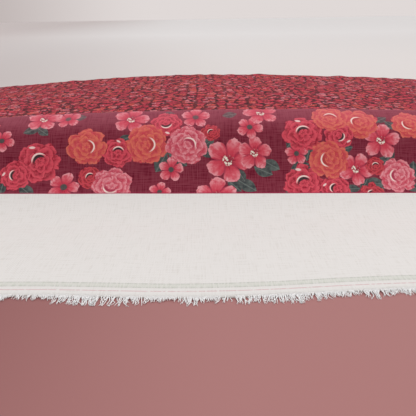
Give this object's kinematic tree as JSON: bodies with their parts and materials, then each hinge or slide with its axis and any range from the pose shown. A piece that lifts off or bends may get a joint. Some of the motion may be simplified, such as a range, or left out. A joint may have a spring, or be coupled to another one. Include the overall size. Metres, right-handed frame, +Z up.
{
  "type": "fabric bolt",
  "caption": "Flat bolt of border-printed cotton wound on a folded board, its fringed free end laid out over the front edge and its end flaps folding open.",
  "frame": {"origin": "middle of the flat underside, on the surface that the bolt lies on", "axes": "+X along the bolt and its board, -Y to the front, where the free end lies, +Z up"},
  "size_m": [0.5975, 0.3736, 0.06],
  "materials": {
    "printed_cloth": "plain-woven printed cotton",
    "free_end_cloth": "unprinted plain-woven cotton",
    "fringe": "frayed cotton yarn",
    "chipboard": "uncoated",
    "label": "matte",
    "tape": "creped"
  },
  "bodies": {
    "bolt": {"board_top_panel": "chipboard", "board_bottom_panel": "chipboard", "board_front_spine": "chipboard", "board_back_spine": "chipboard", "board_front_web": "chipboard", "board_back_web": "chipboard", "board_glue_lap": "chipboard", "start_tape_left": "tape", "start_tape_right": "tape", "wound_cloth": "printed_cloth", "outer_turn": "printed_cloth"},
    "loose_end": {"free_end": "free_end_cloth", "fringe": "fringe"},
    "left_flap": {"end_flap_left": "chipboard"},
    "right_flap": {"end_flap_right": "chipboard", "end_label": "label"}
  },
  "joints": [
    {"name": "free_end_lift", "type": "hinge", "parent": "bolt", "child": "loose_end", "pos_m": [0, -0.11816, 0.04557], "axis": [-1, 0, 0], "range_deg": [0, 120]},
    {"name": "left_flap_fold", "type": "hinge", "parent": "bolt", "child": "left_flap", "pos_m": [-0.29675, 0, 0.022], "axis": [0, -1, 0], "range_deg": [0, 100]},
    {"name": "right_flap_fold", "type": "hinge", "parent": "bolt", "child": "right_flap", "pos_m": [0.29675, 0, 0.022], "axis": [0, 1, 0], "range_deg": [0, 100]}
  ]
}
